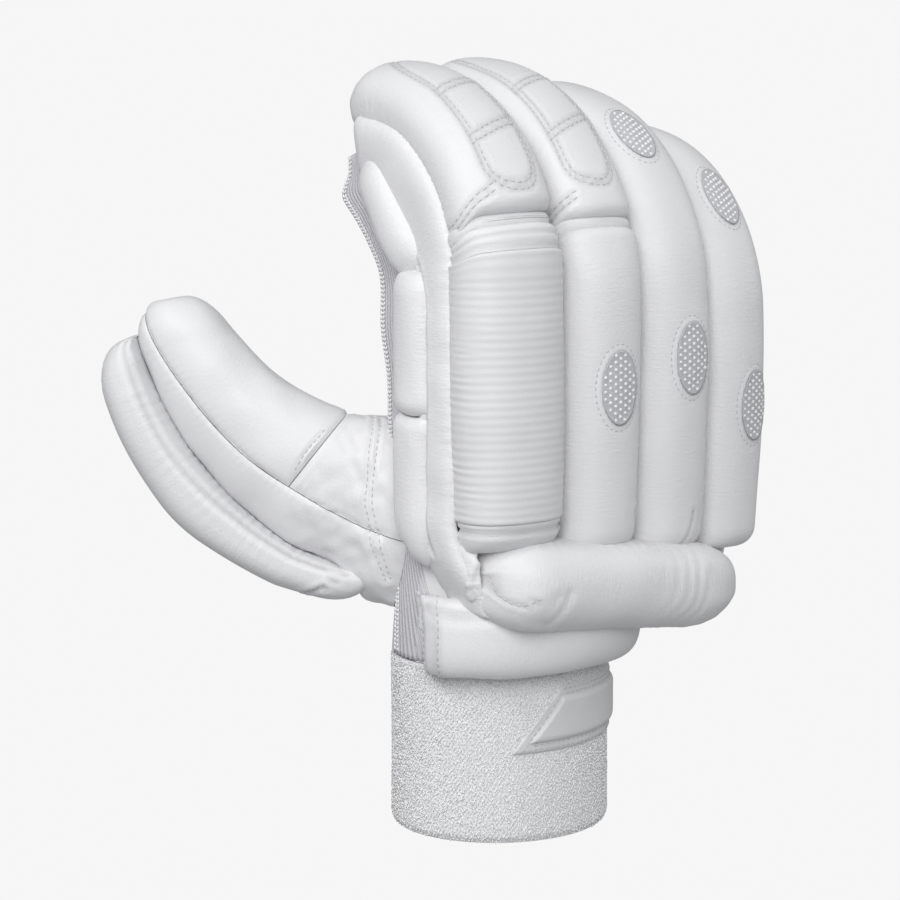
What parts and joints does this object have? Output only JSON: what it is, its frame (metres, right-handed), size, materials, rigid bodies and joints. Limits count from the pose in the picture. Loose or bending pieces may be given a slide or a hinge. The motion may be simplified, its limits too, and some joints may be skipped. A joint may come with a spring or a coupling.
{
  "type": "cricket batting glove",
  "caption": "Right-hand padded batting glove with stuffed finger rolls, thumb guard, wrist roll and towelling cuff, in the form it has when worn.",
  "frame": {"origin": "middle of the cuff's mouth, where the wrist goes in", "axes": "+Z from the cuff's mouth to the fingertips, +X to the little finger, -Y out of the back of the hand, +Y out of the palm"},
  "size_m": [0.2115, 0.1539, 0.2729],
  "materials": {
    "leather": "white full-grain leather over padding, fine pores, satin",
    "palm_leather": "soft white sheep leather, matt",
    "knit": "ribbed knitted mesh, faint lilac white",
    "towelling": "white looped towelling",
    "ribbed": "white leather with fine moulded ribs",
    "vent": "grey cloth with raised pale dots"
  },
  "bodies": {
    "root": {"closure_pad": "leather", "closure_tab": "leather", "cuff_pad": "leather", "hand_back": "leather", "index_hinge": "leather", "index_lower_roll": "leather", "index_ribbed_panel": "ribbed", "index_side_panel": "leather", "index_stall": "palm_leather", "index_tip_roll": "leather", "little_lower_vent": "vent", "little_roll": "leather", "little_stall": "palm_leather", "little_upper_vent": "vent", "middle_hinge": "leather", "middle_lower_roll": "leather", "middle_stall": "palm_leather", "middle_tip_roll": "leather", "middle_vent": "vent", "outer_side_mesh": "knit", "outer_side_panel": "leather", "palm": "palm_leather", "ring_lower_vent": "vent", "ring_roll": "leather", "ring_stall": "palm_leather", "ring_upper_vent": "vent", "side_roll_lower": "leather", "side_roll_middle": "leather", "side_roll_upper": "leather", "thumb_base": "leather", "thumb_guard": "leather", "thumb_gusset": "leather", "thumb_inner_roll": "leather", "thumb_side_mesh": "knit", "wrist_cuff": "towelling", "wrist_roll": "leather"}
  },
  "joints": []
}
